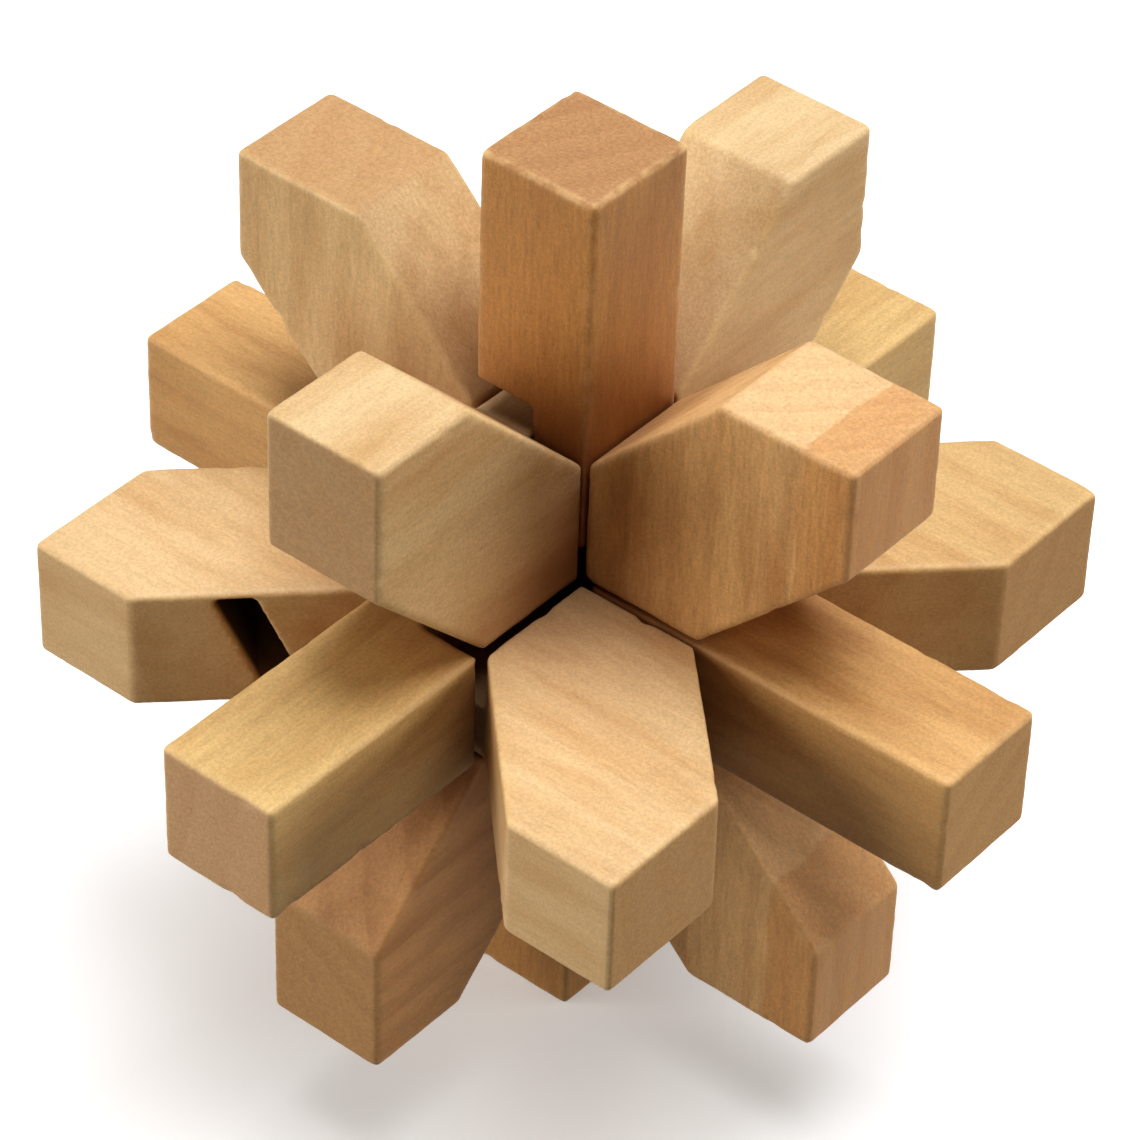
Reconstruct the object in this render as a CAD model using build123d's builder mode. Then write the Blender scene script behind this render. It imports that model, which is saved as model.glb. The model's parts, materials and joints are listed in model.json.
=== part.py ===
"""Interlocking wooden burr puzzle: three notched sticks crossing inside six winged bars.

Everything sits on a square grid whose step is half a stick's nominal width. The sticks run
along X (side to side), Y (front to back) and Z (upright), and cross in the middle. Each
winged bar is a flat board with two arms at 45 degrees: it straddles one stick and lets
another pass through its middle, so the puzzle bristles with eighteen square tips.
Millimetres, +Z up, origin where the three sticks cross.
"""

import os
from math import radians, tan

from build123d import *

# Driving dimensions
GRID = 5.0  # half of the nominal stick width
STICK_WIDTH = 9.9  # planed a little under the nominal 10 mm so that the pieces slide
STICK_LENGTH = 73.0
WING_ALONG = 26.0  # how far a bar reaches along its grain, each way
WING_OUT = 27.0  # how far a bar reaches out from the centre
GAP = 0.1  # clearance that each cut has on its side
NECK_GAP = 0.1  # clearance of each neck from the grid plane where two necks pass
UPRIGHT_SLACK = 2.5  # how much the upright stick's notch outreaches the bars, each way
LEVEL_SLACK = 0.75  # the same for the two level sticks
KEY_SHIFT = 5.0  # sideways travel that unlocks the bottom bar
EASE = 0.25  # rounding of the sanded outer edges

# The slanted slot in the valley side of the front bar's left arm
SLOT_WIDTH = 3.0  # measured level, along the arm's face
SLOT_DEPTH = 9.0
SLOT_TILT = 23.0
SLOT_FORWARD = 20.6  # how far in front of the centre the slot's middle is
SLOT_TOP = 4.3
SLOT_BOTTOM = -4.2

# The saw's overcut above the upright stick's notch
KERF = 0.35
KERF_RISE = 2.6
KERF_DEPTH = 2.0

# Worked out from the driving dimensions
HALF = STICK_WIDTH / 2
BAR_INNER = GRID + GAP
BAR_OUTER = 3 * GRID
SLOPE = 2 * GRID  # an arm lies between the planes along - out = SLOPE and out - along = SLOPE
BEYOND = WING_OUT + GRID  # past the outside of every piece's middle

# Spans for the cuts, along any axis
FULL = (-BEYOND, BEYOND)
LOW_HALF = (-BEYOND, NECK_GAP)
HIGH_HALF = (-NECK_GAP, BEYOND)
BAR_NOTCH = (-GRID - GAP, GRID + GAP)


def both_ways(length):
    """The span from -length to +length."""
    return (-length, length)


def stick_section(plane):
    """The square section of a stick."""
    with BuildSketch(plane) as section:
        Rectangle(STICK_WIDTH, STICK_WIDTH)
    return section.sketch


def wing_profile(outwards, along):
    """A winged bar's outline, in the plane of the directions outwards and along its grain."""
    corner = BAR_INNER + SLOPE
    right_side = [
        (corner, BAR_INNER),
        (WING_ALONG, WING_ALONG - SLOPE),
        (WING_ALONG, WING_OUT),
        (WING_OUT - SLOPE, WING_OUT),
        (BAR_OUTER - SLOPE, BAR_OUTER),
    ]
    left_side = [(-x, y) for x, y in reversed(right_side)]
    plane = Plane(origin=(0, 0, 0), x_dir=along, z_dir=Vector(along).cross(Vector(outwards)))
    with BuildSketch(plane) as profile:
        with BuildLine():
            Polyline(*right_side, *left_side, close=True)
        make_face()
    return profile.sketch


def cut(x_span, y_span, z_span):
    """Remove a box, given by its span along each axis, from the part being built."""
    spans = (x_span, y_span, z_span)
    middle = tuple((low + high) / 2 for low, high in spans)
    size = tuple(high - low for low, high in spans)
    with Locations(middle):
        Box(*size, mode=Mode.SUBTRACT)


def save(builder, name):
    """Label a finished piece and write it."""
    builder.part.label = name
    export_step(builder.part, f"parts/{name}.step")


os.makedirs("parts", exist_ok=True)

# Upright stick: its neck is the right half, and the right back quarter in the middle.
with BuildPart() as upright_stick:
    extrude(stick_section(Plane.XY), amount=STICK_LENGTH / 2, both=True)
    fillet(upright_stick.edges(), radius=EASE)
    cut(LOW_HALF, FULL, both_ways(BAR_OUTER + UPRIGHT_SLACK))
    cut(FULL, LOW_HALF, both_ways(GRID + UPRIGHT_SLACK))
    notch_top = BAR_OUTER + UPRIGHT_SLACK
    with BuildSketch(Plane.YZ):
        with BuildLine():
            Polyline(
                (-HALF, notch_top),
                (KERF_DEPTH - HALF, notch_top),
                (-HALF, notch_top + KERF_RISE),
                close=True,
            )
        make_face()
    extrude(amount=KERF / 2, both=True, mode=Mode.SUBTRACT)
save(upright_stick, "upright_stick")

# Front-to-back stick: its neck is the upper left quarter all along the notch.
with BuildPart() as front_to_back_stick:
    extrude(stick_section(Plane.XZ), amount=STICK_LENGTH / 2, both=True)
    fillet(front_to_back_stick.edges(), radius=EASE)
    cut(HIGH_HALF, both_ways(BAR_OUTER + LEVEL_SLACK), FULL)
    cut(FULL, both_ways(BAR_OUTER + LEVEL_SLACK), LOW_HALF)
save(front_to_back_stick, "front_to_back_stick")

# Side-to-side stick: its neck is the front half, and the lower front quarter in the middle.
with BuildPart() as side_to_side_stick:
    extrude(stick_section(Plane.YZ), amount=STICK_LENGTH / 2, both=True)
    fillet(side_to_side_stick.edges(), radius=EASE)
    cut(both_ways(BAR_OUTER + LEVEL_SLACK), HIGH_HALF, FULL)
    cut(both_ways(GRID + LEVEL_SLACK), FULL, HIGH_HALF)
save(side_to_side_stick, "side_to_side_stick")

# Top bar: grain front to back, notched on the right for the upright stick's neck.
with BuildPart() as top_winged_bar:
    extrude(wing_profile(outwards=(0, 0, 1), along=(0, 1, 0)), amount=HALF, both=True)
    fillet(top_winged_bar.edges(), radius=EASE)
    cut(HIGH_HALF, BAR_NOTCH, FULL)
save(top_winged_bar, "top_winged_bar")

# Bottom bar, the key: the same board turned over.
with BuildPart() as bottom_winged_bar:
    extrude(wing_profile(outwards=(0, 0, -1), along=(0, 1, 0)), amount=HALF, both=True)
    fillet(bottom_winged_bar.edges(), radius=EASE)
    cut(HIGH_HALF, BAR_NOTCH, FULL)
save(bottom_winged_bar, "bottom_winged_bar")

# Front bar: grain side to side, notched from above for the front-to-back stick's neck.
with BuildPart() as front_winged_bar:
    extrude(wing_profile(outwards=(0, -1, 0), along=(1, 0, 0)), amount=HALF, both=True)
    fillet(front_winged_bar.edges(), radius=EASE)
    cut(BAR_NOTCH, FULL, HIGH_HALF)
    # A slanted blind slot runs from just under the top face to just above the bottom face. It
    # is cut into the side of the left arm that faces the front-to-back stick.
    lean = tan(radians(SLOT_TILT))
    slot_origin = (SLOPE - SLOT_FORWARD, -SLOT_FORWARD, 0)
    with BuildSketch(Plane(origin=slot_origin, x_dir=(1, 1, 0), z_dir=(1, -1, 0))):
        with BuildLine():
            Polyline(
                (-SLOT_WIDTH / 2 - SLOT_TOP * lean, SLOT_TOP),
                (SLOT_WIDTH / 2 - SLOT_TOP * lean, SLOT_TOP),
                (SLOT_WIDTH / 2 - SLOT_BOTTOM * lean, SLOT_BOTTOM),
                (-SLOT_WIDTH / 2 - SLOT_BOTTOM * lean, SLOT_BOTTOM),
                close=True,
            )
        make_face()
    extrude(amount=-SLOT_DEPTH, mode=Mode.SUBTRACT)
save(front_winged_bar, "front_winged_bar")

# Back bar: the same board behind, with no slot.
with BuildPart() as back_winged_bar:
    extrude(wing_profile(outwards=(0, 1, 0), along=(1, 0, 0)), amount=HALF, both=True)
    fillet(back_winged_bar.edges(), radius=EASE)
    cut(BAR_NOTCH, FULL, HIGH_HALF)
save(back_winged_bar, "back_winged_bar")

# Right bar: grain upright, notched at the front for the side-to-side stick's neck.
with BuildPart() as right_winged_bar:
    extrude(wing_profile(outwards=(1, 0, 0), along=(0, 0, 1)), amount=HALF, both=True)
    fillet(right_winged_bar.edges(), radius=EASE)
    cut(FULL, LOW_HALF, BAR_NOTCH)
save(right_winged_bar, "right_winged_bar")

# Left bar: the same, with a relief below that the key's neck moves into.
with BuildPart() as left_winged_bar:
    extrude(wing_profile(outwards=(-1, 0, 0), along=(0, 0, 1)), amount=HALF, both=True)
    fillet(left_winged_bar.edges(), radius=EASE)
    cut(FULL, LOW_HALF, BAR_NOTCH)
    cut((-BAR_INNER - KEY_SHIFT, 0), FULL, (-BEYOND, -GRID))
save(left_winged_bar, "left_winged_bar")
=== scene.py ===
"""Looks of the wooden burr puzzle: nine worn pieces of bare hardwood on a pale floor.

Every piece is a fine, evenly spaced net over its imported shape. Its edges are worn down and
nicked in the mesh itself, and its wood is worked out from the distance to the pith of the
tree that it was sawn from. Lengths in the mesh are metres, and the wood's are millimetres.
"""

import json
import math

import bmesh
import bpy
import numpy as np
from mathutils import Matrix, Vector, noise


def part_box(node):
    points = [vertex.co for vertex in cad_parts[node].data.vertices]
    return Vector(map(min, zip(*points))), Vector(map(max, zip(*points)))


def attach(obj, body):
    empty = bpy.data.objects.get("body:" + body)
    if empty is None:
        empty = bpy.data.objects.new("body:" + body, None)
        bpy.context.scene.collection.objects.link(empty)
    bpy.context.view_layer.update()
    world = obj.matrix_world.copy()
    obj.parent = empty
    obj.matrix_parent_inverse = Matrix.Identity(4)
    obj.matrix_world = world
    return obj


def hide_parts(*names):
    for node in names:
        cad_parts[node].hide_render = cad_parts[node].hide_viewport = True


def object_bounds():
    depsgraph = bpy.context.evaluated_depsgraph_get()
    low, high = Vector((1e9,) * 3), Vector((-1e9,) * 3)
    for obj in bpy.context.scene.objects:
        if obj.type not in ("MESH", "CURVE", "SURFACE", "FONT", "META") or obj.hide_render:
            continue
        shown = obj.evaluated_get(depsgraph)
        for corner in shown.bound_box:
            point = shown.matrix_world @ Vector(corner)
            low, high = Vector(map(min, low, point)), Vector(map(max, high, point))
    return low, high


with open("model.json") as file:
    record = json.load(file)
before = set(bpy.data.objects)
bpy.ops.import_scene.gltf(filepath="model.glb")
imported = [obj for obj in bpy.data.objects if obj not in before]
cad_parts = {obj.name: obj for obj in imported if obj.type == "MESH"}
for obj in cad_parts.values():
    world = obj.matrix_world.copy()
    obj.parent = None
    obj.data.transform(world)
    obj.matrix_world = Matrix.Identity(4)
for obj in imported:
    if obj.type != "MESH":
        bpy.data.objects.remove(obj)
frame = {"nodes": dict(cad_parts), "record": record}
cad_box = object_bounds()

MM = 0.001

# The net over each piece
NET = 0.25 * MM
SAME_PLACE = 1e-7  # vertices nearer than this, in metres, are one

# How edges and corners are told from flat faces. Rounds are rounds of smoothing.
CURVE_ROUNDS = 8
FULL_EDGE = 0.16 * MM  # how far such smoothing pulls in a sharp edge
CORNER_GAIN = 2.5  # a corner is pulled in further than an edge, so its mark starts later
CORNER_BIAS = 2.9
CORNER_FULL = 0.35
CORNER_BLUR_ROUNDS = 4
CORNER_ROUNDS = 60  # these shape a worn corner
MARK_BLUR_ROUNDS = 2

# How far the surface is worn
EDGE_WEAR = 0.06 * MM
EDGE_WEAR_SIZE = 2.2 * MM
FACE_WAVE = 0.03 * MM
FACE_WAVE_SIZE = 11 * MM
NICKS = 22
NICK_REACH = (0.4, 1.1)  # mm
NICK_DEPTH = (0.04, 0.14)  # shares of the reach

# The slot in the front bar's left arm, whose walls are darkened with painted shade
ARM_SLOPE = 10 * MM  # how much further out than along an arm's inner side lies
SLOT_SHADE_START = 0.35 * MM
SLOT_SHADE_FADE = 1.5 * MM

# Camera
AZIMUTH = math.radians(38.6)
ELEVATION = math.radians(40.1)
ROLL = math.radians(2.0)
DISTANCE = 0.3534
LENS = 158.1

FLOOR_REACH = 4

# Colours of the lights
COOL = (0.98, 1.0, 1.1)
WARM = (1.02, 0.98, 0.96)


def colour(text):
    """The linear colour of six hexadecimal digits."""
    parts = [int(text[i:i + 2], 16) / 255 for i in (0, 2, 4)]
    linear = [c / 12.92 if c <= 0.04045 else ((c + 0.055) / 1.055) ** 2.4 for c in parts]
    return (*linear, 1.0)


PORE = "7A4A24"
# Colours of painted shade follow: in creases, near the middle of the puzzle, and on the slot's
# walls.
CREASE_SHADE = "5E3717"
CENTRE_SHADE = "7C4110"
SLOT_SHADE = "2A120A"
RUB = 0.5

# The wood of each piece. grain is the axis that the fibres run along. pith is where the middle
# of the tree would be, across the grain, and ring the width of a year's growth, both in mm.
# early, late, end and worn are the colours of pale and dark growth, end grain and rubbed rims.
# The number just before seed says how much shade is painted onto the wood near the middle of the
# puzzle, and rub how pale its rims. rind is where a warmer last growth starts, across the grain,
# and its colour.
WOODS = {
    "upright_stick": dict(
        grain=2, pith=(-46, 30), ring=2.6, contrast=0.17, speckle=0.9, rub=0.95,
        early="BC8A50", late="946236", end="BA8D5F", worn="EDC68C", centre_shade=1.0, seed=1,
    ),
    "front_to_back_stick": dict(
        grain=1, pith=(-62, 14), ring=3.6, contrast=0.3, speckle=0.5,
        early="DFBB7C", late="BC894E", end="D2AA80", worn="F1CF91", centre_shade=0.8, seed=2,
    ),
    "side_to_side_stick": dict(
        grain=0, pith=(34, -52), ring=3.0, contrast=0.25, speckle=0.5,
        early="DDB072", late="B67F47", end="CEA36C", worn="EFC789", centre_shade=0.8, seed=3,
    ),
    "top_winged_bar": dict(
        grain=1, pith=(-58, -30), ring=4.4, contrast=0.22, speckle=0.45,
        early="E2C28F", late="C39559", end="BC976D", worn="F6D89A", centre_shade=0.8, seed=4,
    ),
    "bottom_winged_bar": dict(
        grain=1, pith=(44, 38), ring=2.8, contrast=0.3, speckle=0.6,
        early="DEA96F", late="AE7945", end="BD9463", worn="DBB380", centre_shade=0.8, seed=5,
    ),
    "front_winged_bar": dict(
        grain=0, pith=(70, 22), ring=3.8, contrast=0.22, speckle=0.4,
        early="E1BF8B", late="C39258", end="C49963", worn="F5D598", centre_shade=0.6, seed=6,
    ),
    "back_winged_bar": dict(
        grain=0, pith=(-60, 36), ring=3.4, contrast=0.25, speckle=0.45,
        early="DAB57A", late="BB854B", end="C49863", worn="F3CF91", centre_shade=0.8, seed=7,
    ),
    "right_winged_bar": dict(
        grain=2, pith=(-30, 48), ring=2.2, contrast=0.33, speckle=0.7, rind=(22.6, "C98A4A"),
        early="E5B97E", late="BA8450", end="E8C18C", worn="EBC591", centre_shade=0.35, seed=8,
    ),
    "left_winged_bar": dict(
        grain=2, pith=(52, 34), ring=4.0, contrast=0.28, speckle=0.6,
        early="E0BF8B", late="BC8F5B", end="C29766", worn="EFCA8C", centre_shade=1.0, seed=9,
    ),
}


class Shader:
    """A material's nodes. Each input is given as a plain value or as another node's output."""

    def __init__(self, name):
        self.material = bpy.data.materials.new(name)
        self.material.use_nodes = True
        self.tree = self.material.node_tree
        self.surface = self.tree.nodes["Principled BSDF"]

    def put(self, socket, value):
        """Link or set one input."""
        if isinstance(value, bpy.types.NodeSocket):
            self.tree.links.new(value, socket)
        else:
            socket.default_value = value

    def add(self, kind, inputs, output=0, **settings):
        """Add a node, and return one of its outputs."""
        node = self.tree.nodes.new(kind)
        for name, value in settings.items():
            setattr(node, name, value)
        for name, value in inputs.items():
            self.put(node.inputs[name], value)
        return node.outputs[output]

    def math(self, operation, *values):
        """Work out a number."""
        return self.add("ShaderNodeMath", dict(enumerate(values)), operation=operation)

    def times(self, *values):
        """Multiply numbers."""
        product = values[0]
        for value in values[1:]:
            product = self.math("MULTIPLY", product, value)
        return product

    def plus(self, first, second):
        """Add two numbers."""
        return self.math("ADD", first, second)

    def length(self, vector):
        """How long a vector is."""
        return self.add("ShaderNodeVectorMath", {0: vector}, output=1, operation="LENGTH")

    def vector(self, x, y, z):
        """Join three numbers."""
        return self.add("ShaderNodeCombineXYZ", {0: x, 1: y, 2: z})

    def split(self, vector):
        """The three numbers of a vector."""
        node = self.tree.nodes.new("ShaderNodeSeparateXYZ")
        self.put(node.inputs[0], vector)
        return list(node.outputs)

    def noise(self, vector, scale, detail=2.0, rough=0.5):
        """Smooth noise from 0 to 1, with scale features per unit."""
        inputs = {"Vector": vector, "Scale": scale, "Detail": detail, "Roughness": rough}
        return self.add("ShaderNodeTexNoise", inputs)

    def span(self, value, low, high, to_low=0.0, to_high=1.0):
        """Carry low..high smoothly to to_low..to_high, and hold beyond."""
        inputs = {
            "Value": value, "From Min": low, "From Max": high, "To Min": to_low, "To Max": to_high
        }
        return self.add("ShaderNodeMapRange", inputs, interpolation_type="SMOOTHSTEP")

    def mix(self, factor, first, second, blend="MIX"):
        """Mix two colours."""
        inputs = {0: factor, 6: first, 7: second}
        return self.add("ShaderNodeMix", inputs, output=2, data_type="RGBA", blend_type=blend)

    def stain(self, amount, body, text):
        """Mix one colour, given as text, into a body colour."""
        return self.mix(amount, body, colour(text))

    def attribute(self, name):
        """A number kept on the mesh."""
        return self.add("ShaderNodeAttribute", {}, output=2, attribute_name=name)


class Wood(Shader):
    """Bare sanded hardwood, sawn from around a pith that lies off the piece."""

    def __init__(self, name, wood):
        super().__init__(name)
        self.wood = wood
        self.seed = 37.0 * wood["seed"]
        place = self.tree.nodes.new("ShaderNodeTexCoord")
        inputs = {0: place.outputs["Object"], 3: 1 / MM}
        self.point = self.add("ShaderNodeVectorMath", inputs, operation="SCALE")
        axes = self.split(self.point)
        self.along = axes.pop(wood["grain"])
        self.across, self.beside = axes
        facing = self.split(place.outputs["Normal"])[wood["grain"]]
        self.facing = self.math("ABSOLUTE", facing)
        self.end_face = self.span(self.facing, 0.6, 0.95)
        self.edge = self.attribute("edge")
        self.grow()
        body = self.paint_shade(self.rubbed(self.grained()))
        self.put(self.surface.inputs["Base Color"], body)
        self.set_relief()
        self.set_gloss()

    def grow(self):
        """The trunk's slow bends, the growth rings round its pith, and the fibres along it."""
        slow = self.vector(
            self.plus(self.across, self.seed), self.beside, self.times(self.along, 0.28)
        )
        bend = self.span(self.noise(slow, scale=0.05), 0.2, 0.8, -1.1, 1.1)
        self.ripple = self.span(self.noise(slow, scale=0.5), 0.2, 0.8, -0.22, 0.22)
        self.mottle = self.noise(slow, scale=0.16, detail=3.0, rough=0.55)
        from_pith = self.vector(
            self.math("SUBTRACT", self.plus(self.across, bend), self.wood["pith"][0]),
            self.math("SUBTRACT", self.plus(self.beside, self.ripple), self.wood["pith"][1]),
            0.0,
        )
        year = self.math("DIVIDE", self.length(from_pith), self.wood["ring"])
        season = self.math("FRACT", year)
        swell = self.span(season, 0.1, 0.9)
        drop = self.span(season, 0.9, 1.0, 1.0, 0.0)
        lean_year = self.noise(self.vector(year, self.seed, 0.0), scale=0.9, detail=1.0)
        self.ring = self.times(swell, drop, self.span(lean_year, 0.3, 0.7, 0.25, 1.0))

        # Streaks along the grain, which show as speckle on an end
        fine = self.vector(
            self.across, self.plus(self.beside, self.seed), self.times(self.along, 0.13)
        )
        self.fibre = self.noise(fine, scale=3.4, detail=3.0, rough=0.6)
        self.pore = self.span(self.noise(fine, scale=6.0, detail=1.0), 0.58, 0.74)
        self.streak = self.span(self.noise(fine, scale=0.8), 0.3, 0.7, -1.0, 1.0)
        self.grit = self.noise(self.point, scale=4.6, detail=2.0, rough=0.8)

    def grained(self):
        """The colour of the clean wood, from the large to the small."""
        wood = self.wood
        tone = self.times(self.ring, wood["contrast"])
        tone = self.plus(tone, self.span(self.mottle, 0.32, 0.72, -0.12, 0.42))
        tone = self.plus(tone, self.times(self.streak, 0.1))
        body = self.mix(tone, colour(wood["early"]), colour(wood["late"]))
        body = self.stain(self.times(self.end_face, 0.85), body, wood["end"])
        body = self.stain(self.times(self.ring, self.end_face, 0.2), body, wood["late"])
        if "rind" in wood:
            start, tint = wood["rind"]
            rind = self.span(self.plus(self.across, self.ripple), start, start + 0.35, 0.0, 0.5)
            body = self.stain(rind, body, tint)
        speckle = self.span(self.grit, 0.3, 0.7, 0.9, 1.1)
        strength = self.times(self.span(self.fibre, 0.3, 0.7, -0.11, 0.11), wood["speckle"])
        level = self.times(speckle, self.plus(strength, 1.0))
        body = self.mix(1.0, body, self.vector(level, level, level), "MULTIPLY")
        return self.stain(self.times(self.pore, 0.22 * wood["speckle"]), body, PORE)

    def rubbed(self, body):
        """Pale rims, palest round the ends of the grain."""
        rub = self.span(
            self.noise(self.point, scale=0.9), 0.35, 0.65, 0.1, self.wood.get("rub", RUB)
        )
        rub = self.times(rub, self.span(self.facing, 0.05, 0.4, 0.4, 1.0))
        rim = self.math("POWER", self.edge, 1.1)
        return self.stain(self.times(rim, rub), body, self.wood["worn"])

    def paint_shade(self, body):
        """Painted shade: in the inner corners, round the middle of the puzzle, and on the walls
        of the slot.
        """
        # Painted shade in the inner corners and creases
        body = self.stain(self.times(self.attribute("crease_shade"), 0.55), body, CREASE_SHADE)
        # Painted shade, darker towards the middle of the puzzle, where the pieces shade each
        # other
        centre_shade = self.span(self.length(self.point), 11.0, 27.0, 0.95, 0.0)
        centre_shade = self.times(centre_shade, self.span(self.mottle, 0.3, 0.7, 0.7, 1.0), self.wood["centre_shade"])
        body = self.stain(centre_shade, body, CENTRE_SHADE)
        # Painted shade on the walls of the slot
        return self.stain(self.times(self.attribute("slot_shade"), 0.85), body, SLOT_SHADE)

    def set_relief(self):
        """Raised fibres, and open pores on the ends."""
        roughness = self.times(self.grit, self.span(self.end_face, 0, 1, 0.2, 0.6))
        height = self.plus(self.times(self.fibre, 0.6), roughness)
        inputs = {"Strength": 0.55, "Distance": 0.05 * MM, "Height": height}
        self.put(self.surface.inputs["Normal"], self.add("ShaderNodeBump", inputs))

    def set_gloss(self):
        """A dull sheen, duller on the ends and brighter where hands have rubbed."""
        gloss = self.span(self.fibre, 0.3, 0.7, 0.48, 0.6)
        gloss = self.plus(gloss, self.times(self.end_face, 0.14))
        gloss = self.math("SUBTRACT", gloss, self.times(self.edge, 0.08))
        self.put(self.surface.inputs["Roughness"], gloss)
        self.surface.inputs["Specular IOR Level"].default_value = 0.35


def fine_net(node, name):
    """A new object with an even net of small faces over a node's surface."""
    source = bpy.data.objects.new(name + "_source", node.data.copy())
    bpy.context.scene.collection.objects.link(source)
    whole = bmesh.new()
    whole.from_mesh(source.data)
    bmesh.ops.remove_doubles(whole, verts=whole.verts, dist=SAME_PLACE)
    whole.to_mesh(source.data)
    whole.free()
    net = source.modifiers.new("net", "REMESH")
    net.mode = "VOXEL"
    net.voxel_size = NET
    scene = bpy.context.evaluated_depsgraph_get()
    mesh = bpy.data.meshes.new_from_object(source.evaluated_get(scene))
    bpy.data.objects.remove(source)
    mesh.name = name
    piece = bpy.data.objects.new(name, mesh)
    bpy.context.scene.collection.objects.link(piece)
    return piece


def read(collection, field, width, kind=float):
    """One field of every item of a mesh collection, as an array."""
    values = np.empty(len(collection) * width, kind)
    collection.foreach_get(field, values)
    return values.reshape(-1, width)


def neighbour_mean(values, edges, count):
    """The mean of each vertex's neighbours."""
    columns = []
    for column in values.T:
        forth = np.bincount(edges[:, 0], column[edges[:, 1]], len(values))
        back = np.bincount(edges[:, 1], column[edges[:, 0]], len(values))
        columns.append((forth + back) / count)
    return np.stack(columns, 1)


def smoothed(values, edges, count, rounds):
    """Values drawn towards their neighbours' mean, a few times over."""
    for _ in range(rounds):
        values = 0.5 * values + 0.5 * neighbour_mean(values, edges, count)
    return values


def unevenness(points, size, octaves, seed):
    """Noise of about -1 to 1 at each point, with features of the given size."""
    shift = Vector((seed * 7.3, seed * 3.1, seed * 5.7))
    return np.array([noise.fractal(Vector(p) / size + shift, 0.8, 2.0, octaves) for p in points])


def wear(piece, seed):
    """Round and nick a piece's edges, take the flatness off its faces, and mark its edges and its
    creases, which get painted shade.
    """
    mesh = piece.data
    points = read(mesh.vertices, "co", 3)
    edges = read(mesh.edges, "vertices", 2, np.int32)
    count = np.bincount(edges.ravel(), minlength=len(points))
    points = smoothed(points, edges, count, 1)
    mesh.vertices.foreach_set("co", points.ravel())
    mesh.update()
    normals = read(mesh.vertex_normals, "vector", 3)
    pulled = points - smoothed(points, edges, count, CURVE_ROUNDS)
    bulge = (pulled * normals).sum(1) / FULL_EDGE
    corner = np.clip(CORNER_GAIN * bulge[:, None] - CORNER_BIAS, 0, 1)
    corner = smoothed(corner, edges, count, CORNER_BLUR_ROUNDS).clip(0, CORNER_FULL) / CORNER_FULL
    points += corner * (smoothed(points, edges, count, CORNER_ROUNDS) - points)
    edge = np.clip(bulge, 0, 1)
    # Concave places, which the wood darkens with painted shade
    crease_shade = np.clip(-bulge, 0, 1)

    sink = FACE_WAVE * (0.5 + 0.5 * unevenness(points, FACE_WAVE_SIZE, 2, seed)).clip(0, 1)
    ragged = unevenness(points, EDGE_WEAR_SIZE, 3, seed + 20)
    sink += EDGE_WEAR * edge * (0.55 + 0.9 * ragged).clip(0, 2)
    rng = np.random.default_rng(seed)
    chance = edge ** 2
    for middle in rng.choice(len(points), NICKS, replace=False, p=chance / chance.sum()):
        reach = rng.uniform(*NICK_REACH) * MM
        depth = rng.uniform(*NICK_DEPTH) * reach
        share = ((points - points[middle]) ** 2).sum(1) / reach**2
        sink += depth * (1 - share).clip(0, 1) ** 2
    points -= normals * sink[:, None]
    mesh.vertices.foreach_set("co", points.ravel())
    marks = smoothed(np.stack([edge, crease_shade], 1), edges, count, MARK_BLUR_ROUNDS)
    for name, values in zip(("edge", "crease_shade"), marks.T):
        mesh.attributes.new(name, "FLOAT", "POINT").data.foreach_set("value", values)
    mesh.shade_smooth()
    mesh.update()


def shade_slot_walls(piece):
    """Mark the walls of the slot in the front bar's left arm for painted shade, by their depth
    inside it.
    """
    low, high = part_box("front_winged_bar")
    x, y, z = read(piece.data.vertices, "co", 3).T
    along, out = -x, -y
    slopes = [ARM_SLOPE - out + along, ARM_SLOPE + out - along]
    faces = [-low[0] - along, -low[1] - out, high[2] - np.abs(z), along - ARM_SLOPE / 2]
    depth = np.minimum.reduce(slopes + faces)
    slot_shade = np.clip((depth - SLOT_SHADE_START) / SLOT_SHADE_FADE, 0, 1)
    piece.data.attributes.new("slot_shade", "FLOAT", "POINT").data.foreach_set("value", slot_shade)


bodies = frame["record"]["behaviour"]["bodies"]
body_of = {node: body for body, nodes in bodies.items() for node in nodes}

for node_name, wood in WOODS.items():
    node = frame["nodes"][node_name]
    piece = fine_net(node, node_name + "_worn")
    wear(piece, wood["seed"])
    piece.data.materials.clear()
    piece.data.materials.append(Wood(node_name + "_wood", wood).material)
    if node_name == "front_winged_bar":
        shade_slot_walls(piece)
    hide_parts(node_name)
    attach(piece, body_of[node_name])


def make_floor(height):
    """A wide, plain, nearly white floor, which throws no light back onto the puzzle."""
    mesh = bpy.data.meshes.new("floor")
    reach = FLOOR_REACH
    corners = [(-reach, -reach), (reach, -reach), (reach, reach), (-reach, reach)]
    corners = [(x, y, height) for x, y in corners]
    mesh.from_pydata(corners, [], [(0, 1, 2, 3)])
    floor = bpy.data.objects.new("floor", mesh)
    bpy.context.scene.collection.objects.link(floor)
    paper = Shader("floor_paper")
    paper.surface.inputs["Base Color"].default_value = (0.95, 0.93, 0.87, 1)
    paper.surface.inputs["Roughness"].default_value = 0.9
    paper.surface.inputs["Emission Color"].default_value = (1, 1, 1, 1)
    paper.surface.inputs["Emission Strength"].default_value = 0.25
    paper.surface.inputs["Specular IOR Level"].default_value = 0.1
    mesh.materials.append(paper.material)
    floor.visible_diffuse = False


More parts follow.
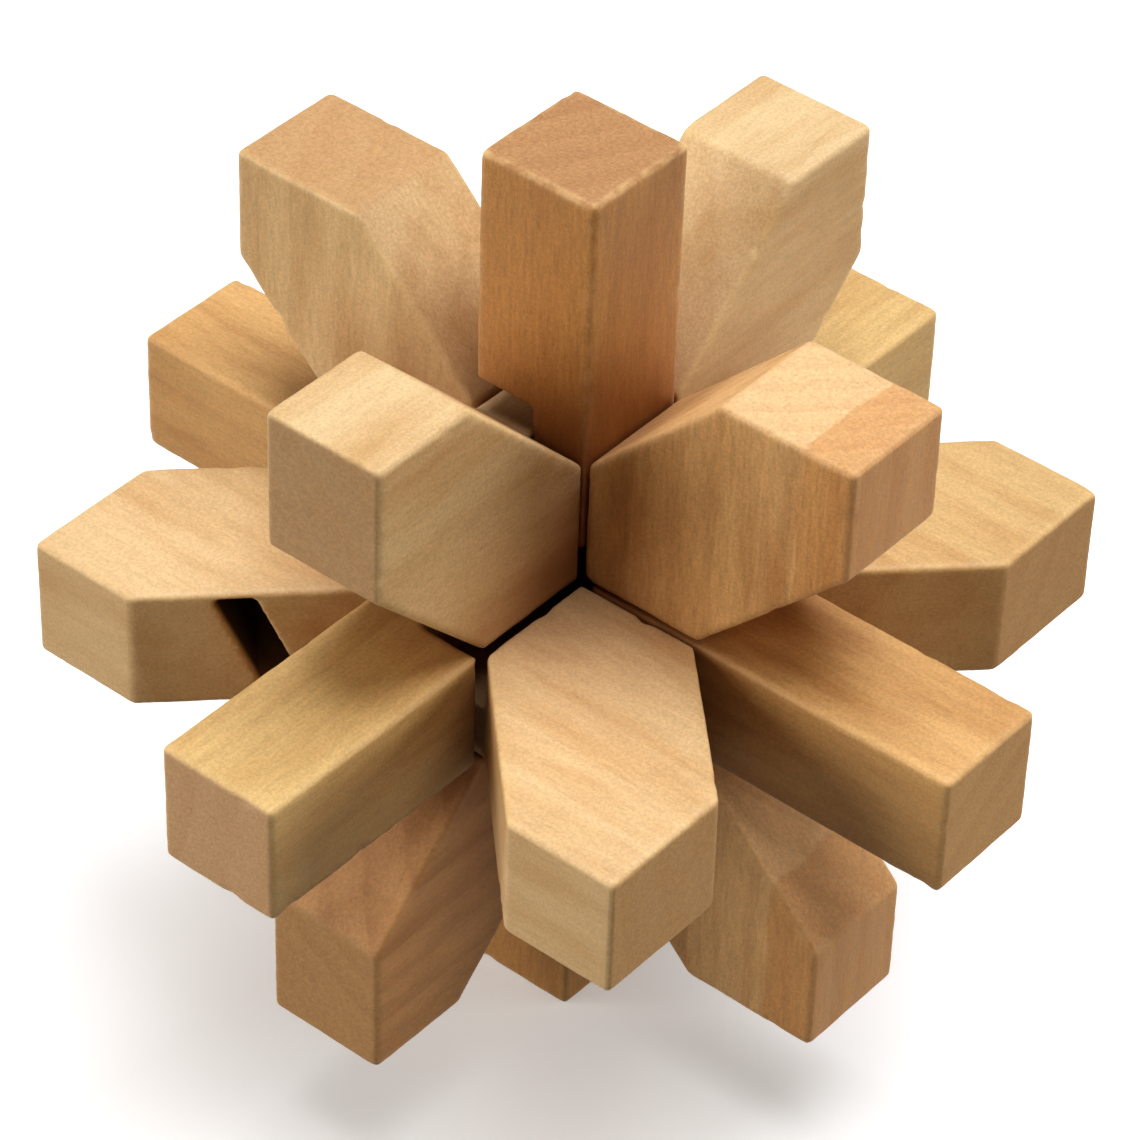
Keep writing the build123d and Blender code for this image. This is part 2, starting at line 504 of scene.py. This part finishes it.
def direction(azimuth, elevation):
    """From the puzzle towards a place in the studio. Azimuth 0 is the front, 90 the right."""
    azimuth, elevation = math.radians(azimuth), math.radians(elevation)
    level = math.cos(elevation)
    return Vector((math.sin(azimuth) * level, -math.cos(azimuth) * level, math.sin(elevation)))


def add_light(name, azimuth, elevation, distance, size, power, tint):
    """A square soft light that faces the puzzle."""
    data = bpy.data.lights.new(name, "AREA")
    data.size = size
    data.energy = power
    data.color = tint
    lamp = bpy.data.objects.new(name, data)
    lamp.location = direction(azimuth, elevation) * distance
    lamp.rotation_euler = (-lamp.location).to_track_quat("-Z", "Y").to_euler()
    bpy.context.scene.collection.objects.link(lamp)


def add_camera():
    """The camera, turned to face the middle of the puzzle."""
    back = direction(math.degrees(AZIMUTH), math.degrees(ELEVATION))
    level_right = Vector((0, 0, 1)).cross(back).normalized()
    level_up = back.cross(level_right)
    right = math.cos(ROLL) * level_right + math.sin(ROLL) * level_up
    up = math.cos(ROLL) * level_up - math.sin(ROLL) * level_right
    data = bpy.data.cameras.new("camera")
    data.sensor_width = 36
    data.lens = LENS
    data.clip_start = 0.01
    camera = bpy.data.objects.new("camera", data)
    turn = Matrix((right, up, back)).transposed().to_4x4()
    camera.matrix_world = Matrix.Translation(back * DISTANCE) @ turn
    bpy.context.scene.collection.objects.link(camera)
    bpy.context.scene.camera = camera


make_floor(cad_box[0][2])
add_light("key", azimuth=165, elevation=80, distance=0.9, size=0.8, power=9.0, tint=COOL)
add_light("left_panel", azimuth=-32, elevation=11, distance=0.9, size=0.7, power=5.9, tint=WARM)
add_light("right_panel", azimuth=122, elevation=5, distance=0.9, size=0.6, power=4.3, tint=WARM)
add_camera()

world = bpy.data.worlds.new("studio")
world.use_nodes = True
world.node_tree.nodes["Background"].inputs["Color"].default_value = (1, 1, 1, 1)
world.node_tree.nodes["Background"].inputs["Strength"].default_value = 0.04
bpy.context.scene.world = world
bpy.context.scene.view_settings.view_transform = "Standard"
bpy.context.scene.view_settings.look = "Medium High Contrast"
